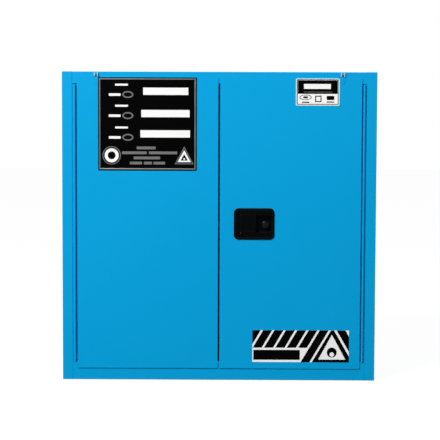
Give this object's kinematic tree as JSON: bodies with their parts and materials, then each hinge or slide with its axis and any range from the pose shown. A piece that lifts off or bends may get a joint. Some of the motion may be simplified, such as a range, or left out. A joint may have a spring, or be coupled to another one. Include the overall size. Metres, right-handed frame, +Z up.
{
  "type": "two-door safety storage cabinet",
  "caption": "Blue double-walled steel cabinet for reagents: overlay doors on full-length hinges, paddle latch with key lock, adjustable shelf, spill sump, capped side vents.",
  "frame": {"origin": "on the floor under the middle of the cabinet's overall box: the feet's pads are at z = 0", "axes": "+Z up, the doors face -Y, +X to the right seen from the front"},
  "size_m": [1.1266, 0.467, 1.076],
  "materials": {
    "blue_paint": "satin powder coat with fine orange peel",
    "zinc_steel": "bright zinc plate",
    "galvanised_sheet": "galvanised",
    "bright_steel": "ground and polished",
    "brass_mesh": "woven wire",
    "brass_stud": "machined",
    "plastic_ring": "moulded nylon",
    "buffer_rubber": "matt",
    "foot_rubber": "moulded, with a zinc-plated screw",
    "tray_plastic": "formed polyethylene",
    "black_latch": "black, fine texture",
    "lock_black": "black chrome, satin",
    "sign_metal": "satin",
    "sign_black": "gloss print film",
    "strip_film": "print film with black stripes"
  },
  "bodies": {
    "carcass": {"outer_side_left": "blue_paint", "outer_side_right": "blue_paint", "outer_top": "blue_paint", "outer_back": "blue_paint", "bottom_rail": "blue_paint", "base_pan": "blue_paint", "inner_side_left": "blue_paint", "inner_side_right": "blue_paint", "inner_top": "blue_paint", "inner_back": "blue_paint", "sump_pan": "blue_paint", "floor_stringers": "zinc_steel", "wall_spacers": "zinc_steel", "rod_keepers": "plastic_ring", "door_buffers": "buffer_rubber", "hinge_frame_leaves": "blue_paint", "hinge_pins": "bright_steel", "frame_leaf_rivets": "zinc_steel", "shelf_uprights": "galvanised_sheet", "shelf_clips": "zinc_steel", "shelf": "galvanised_sheet", "shelf_tray": "tray_plastic", "sump_tray": "tray_plastic", "vent_tubes": "zinc_steel", "flame_arresters": "brass_mesh", "vent_grilles": "galvanised_sheet", "roller_brackets": "zinc_steel", "foot_nuts": "zinc_steel", "earth_stud": "brass_stud", "earth_nuts": "zinc_steel"},
    "vent_cap_left": {"vent_cap_left": "zinc_steel"},
    "vent_cap_right": {"vent_cap_right": "zinc_steel"},
    "roller_left": {"roller_left": "bright_steel"},
    "roller_right": {"roller_right": "bright_steel"},
    "foot_front_left": {"foot_front_left": "foot_rubber"},
    "foot_front_right": {"foot_front_right": "foot_rubber"},
    "foot_back_left": {"foot_back_left": "foot_rubber"},
    "foot_back_right": {"foot_back_right": "foot_rubber"},
    "left_door": {"door_skin_left": "blue_paint", "door_liner_left": "blue_paint", "hinge_door_leaf_left": "blue_paint", "centre_keeper": "zinc_steel", "sign_frame": "sign_metal", "sign_plate": "sign_black"},
    "right_door": {"door_skin_right": "blue_paint", "door_liner_right": "blue_paint", "hinge_door_leaf_right": "blue_paint", "rating_plate": "sign_metal", "striped_strip": "strip_film", "latch_housing": "black_latch", "latch_mounting": "zinc_steel", "latch_guides": "zinc_steel", "paddle_pin": "bright_steel", "paddle_spring": "bright_steel", "lock_cylinder": "lock_black"},
    "paddle": {"paddle": "black_latch"},
    "lock_plug": {"lock_plug": "lock_black"},
    "draw_plate": {"draw_plate": "zinc_steel"},
    "upper_rod": {"bolt_rod_upper": "zinc_steel"},
    "lower_rod": {"bolt_rod_lower": "zinc_steel"}
  },
  "joints": [
    {"name": "left_door_swing", "type": "hinge", "parent": "carcass", "child": "left_door", "pos_m": [-0.501, -0.2295, 0.55], "axis": [0, 0, -1], "range_deg": [0, 180]},
    {"name": "right_door_swing", "type": "hinge", "parent": "carcass", "child": "right_door", "pos_m": [0.501, -0.2295, 0.55], "axis": [0, 0, 1], "range_deg": [0, 180]},
    {"name": "paddle_pull", "type": "hinge", "parent": "right_door", "child": "paddle", "pos_m": [0.0757, -0.2298, 0.551], "axis": [0, 0, -1], "range_deg": [0, 30], "stiffness_Nm_per_rad": 0.6, "springref_deg": -17.19},
    {"name": "draw_slide", "type": "slide", "parent": "right_door", "child": "draw_plate", "axis": [1, 0, 0], "range_m": [0, 0.0141]},
    {"name": "upper_rod_slide", "type": "slide", "parent": "right_door", "child": "upper_rod", "axis": [0, 0, -1], "range_m": [0, 0.0141]},
    {"name": "lower_rod_slide", "type": "slide", "parent": "right_door", "child": "lower_rod", "axis": [0, 0, 1], "range_m": [0, 0.0141]},
    {"name": "lock_turn", "type": "hinge", "parent": "right_door", "child": "lock_plug", "pos_m": [0.1615, -0.2165, 0.549], "axis": [0, -1, 0], "range_deg": [-90, 0]},
    {"name": "vent_cap_left_turn", "type": "hinge", "parent": "carcass", "child": "vent_cap_left", "pos_m": [-0.553, 0.0065, 0.15], "axis": [-1, 0, 0], "continuous": true},
    {"name": "vent_cap_right_turn", "type": "hinge", "parent": "carcass", "child": "vent_cap_right", "pos_m": [0.553, 0.0065, 0.933], "axis": [1, 0, 0], "continuous": true},
    {"name": "roller_left_spin", "type": "hinge", "parent": "carcass", "child": "roller_left", "pos_m": [-0.4258, -0.2306, 1.0665], "axis": [1, 0, 0], "continuous": true},
    {"name": "roller_right_spin", "type": "hinge", "parent": "carcass", "child": "roller_right", "pos_m": [0.4258, -0.2306, 1.0665], "axis": [1, 0, 0], "continuous": true},
    {"name": "foot_front_left_turn", "type": "hinge", "parent": "carcass", "child": "foot_front_left", "pos_m": [-0.483, -0.1645, 0], "axis": [0, 0, 1], "continuous": true},
    {"name": "foot_back_left_turn", "type": "hinge", "parent": "carcass", "child": "foot_back_left", "pos_m": [-0.483, 0.1715, 0], "axis": [0, 0, 1], "continuous": true},
    {"name": "foot_front_right_turn", "type": "hinge", "parent": "carcass", "child": "foot_front_right", "pos_m": [0.483, -0.1645, 0], "axis": [0, 0, 1], "continuous": true},
    {"name": "foot_back_right_turn", "type": "hinge", "parent": "carcass", "child": "foot_back_right", "pos_m": [0.483, 0.1715, 0], "axis": [0, 0, 1], "continuous": true}
  ],
  "couplings": [
    {"joint": "draw_slide", "follows": "paddle_pull", "m_per_rad": 0.026738},
    {"joint": "upper_rod_slide", "follows": "paddle_pull", "m_per_rad": 0.026738},
    {"joint": "lower_rod_slide", "follows": "paddle_pull", "m_per_rad": 0.026738}
  ]
}
